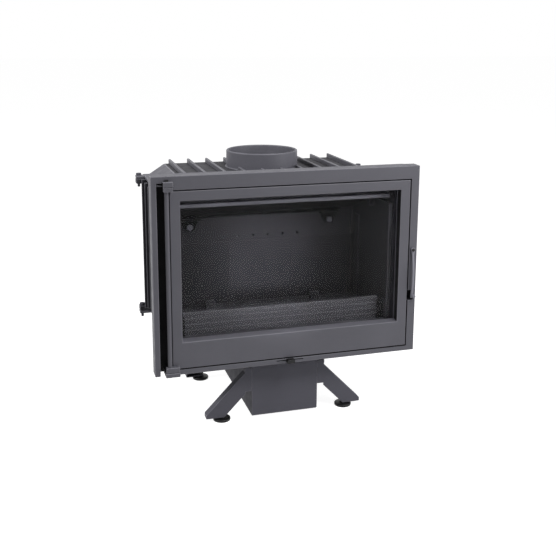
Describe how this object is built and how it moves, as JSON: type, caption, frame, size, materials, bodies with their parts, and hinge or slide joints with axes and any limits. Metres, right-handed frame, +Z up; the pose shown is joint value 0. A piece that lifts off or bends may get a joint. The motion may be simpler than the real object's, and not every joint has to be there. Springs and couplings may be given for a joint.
{
  "type": "fireplace insert",
  "caption": "Cast-iron fireplace insert with a wide glazed door hinged on the left, finned firebox, round top flue collar, pedestal box and slanted legs on levelling feet.",
  "frame": {"origin": "under the middle of the overall box, on the floor that the feet stand on", "axes": "+X to the right across the front, +Y from the door to the back, +Z up"},
  "size_m": [0.7, 0.426, 0.684],
  "materials": {
    "cast_iron": "fine-grained, satin anthracite heat-proof paint",
    "chamber_iron": "fine-grained, matt anthracite heat-proof paint",
    "sheet_steel": "smooth, satin anthracite heat-proof paint",
    "black_steel": "satin black",
    "sealing_rope": "woven, matt dark grey",
    "ceramic_glass": "clear and polished"
  },
  "bodies": {
    "firebox": {"front_frame": "cast_iron", "back_wall": "cast_iron", "base_plate": "cast_iron", "hood": "cast_iron", "flue_collar": "cast_iron", "airwash_deflector": "cast_iron", "side_wall_left": "cast_iron", "side_wall_right": "cast_iron", "hearth_plate": "chamber_iron", "fireback": "chamber_iron", "secondary_air_plate": "chamber_iron", "side_liner_left": "chamber_iron", "side_liner_right": "chamber_iron", "baffle_bracket_left": "chamber_iron", "baffle_bracket_right": "chamber_iron", "retainer_guide_left": "chamber_iron", "retainer_guide_right": "chamber_iron", "rear_log_stop_left": "chamber_iron", "rear_log_stop_right": "chamber_iron", "upper_corner_bolt_left": "sheet_steel", "upper_corner_bolt_right": "sheet_steel", "lower_corner_bolt_left": "sheet_steel", "lower_corner_bolt_right": "sheet_steel", "ash_pan": "sheet_steel", "rear_air_duct": "sheet_steel", "air_box": "sheet_steel", "pedestal_box": "sheet_steel", "leg_front_left": "sheet_steel", "leg_front_right": "sheet_steel", "leg_rear_left": "sheet_steel", "leg_rear_right": "sheet_steel", "upper_hinge_pin": "black_steel", "lower_hinge_pin": "black_steel", "latch_pivot_pin": "black_steel", "foot_nut_front_left": "black_steel", "foot_nut_front_right": "black_steel", "foot_nut_rear_left": "black_steel", "foot_nut_rear_right": "black_steel", "baffle_bolt_left": "black_steel", "baffle_bolt_right": "black_steel"},
    "door": {"door_leaf": "cast_iron", "door_glass": "ceramic_glass", "glass_gasket": "sealing_rope", "door_gasket": "sealing_rope", "glass_clip_upper_left": "black_steel", "glass_clip_upper_right": "black_steel", "glass_clip_lower_left": "black_steel", "glass_clip_lower_right": "black_steel"},
    "latch": {"latch_lever": "sheet_steel"},
    "air_control": {"air_shutter": "sheet_steel", "air_control_knob": "black_steel"},
    "levelling_front_left": {"foot_front_left": "black_steel"},
    "levelling_front_right": {"foot_front_right": "black_steel"},
    "levelling_rear_left": {"foot_rear_left": "black_steel"},
    "levelling_rear_right": {"foot_rear_right": "black_steel"},
    "retainer_bar": {"log_retainer": "chamber_iron"},
    "grate": {"ash_grate": "chamber_iron"},
    "baffle": {"smoke_baffle": "chamber_iron"}
  },
  "joints": [
    {"name": "door_hinge", "type": "hinge", "parent": "firebox", "child": "door", "pos_m": [-0.313, -0.202, 0.4], "axis": [0, 0, -1], "range_deg": [0, 110]},
    {"name": "latch_turn", "type": "hinge", "parent": "firebox", "child": "latch", "pos_m": [0.337, -0.203, 0.442], "axis": [0, -1, 0], "range_deg": [0, 60]},
    {"name": "air_slide", "type": "slide", "parent": "firebox", "child": "air_control", "axis": [1, 0, 0], "range_m": [-0.028, 0.028]},
    {"name": "front_left_level", "type": "slide", "parent": "firebox", "child": "levelling_front_left", "axis": [0, 0, -1], "range_m": [0, 0.02]},
    {"name": "front_right_level", "type": "slide", "parent": "firebox", "child": "levelling_front_right", "axis": [0, 0, -1], "range_m": [0, 0.02]},
    {"name": "rear_left_level", "type": "slide", "parent": "firebox", "child": "levelling_rear_left", "axis": [0, 0, -1], "range_m": [0, 0.02]},
    {"name": "rear_right_level", "type": "slide", "parent": "firebox", "child": "levelling_rear_right", "axis": [0, 0, -1], "range_m": [0, 0.02]},
    {"name": "retainer_lift", "type": "slide", "parent": "firebox", "child": "retainer_bar", "axis": [0, 0, 1], "range_m": [0, 0.06]},
    {"name": "grate_lift", "type": "slide", "parent": "firebox", "child": "grate", "axis": [0, 0, 1], "range_m": [0, 0.04]},
    {"name": "baffle_lift", "type": "slide", "parent": "firebox", "child": "baffle", "axis": [0, 0, 1], "range_m": [0, 0.02]}
  ]
}
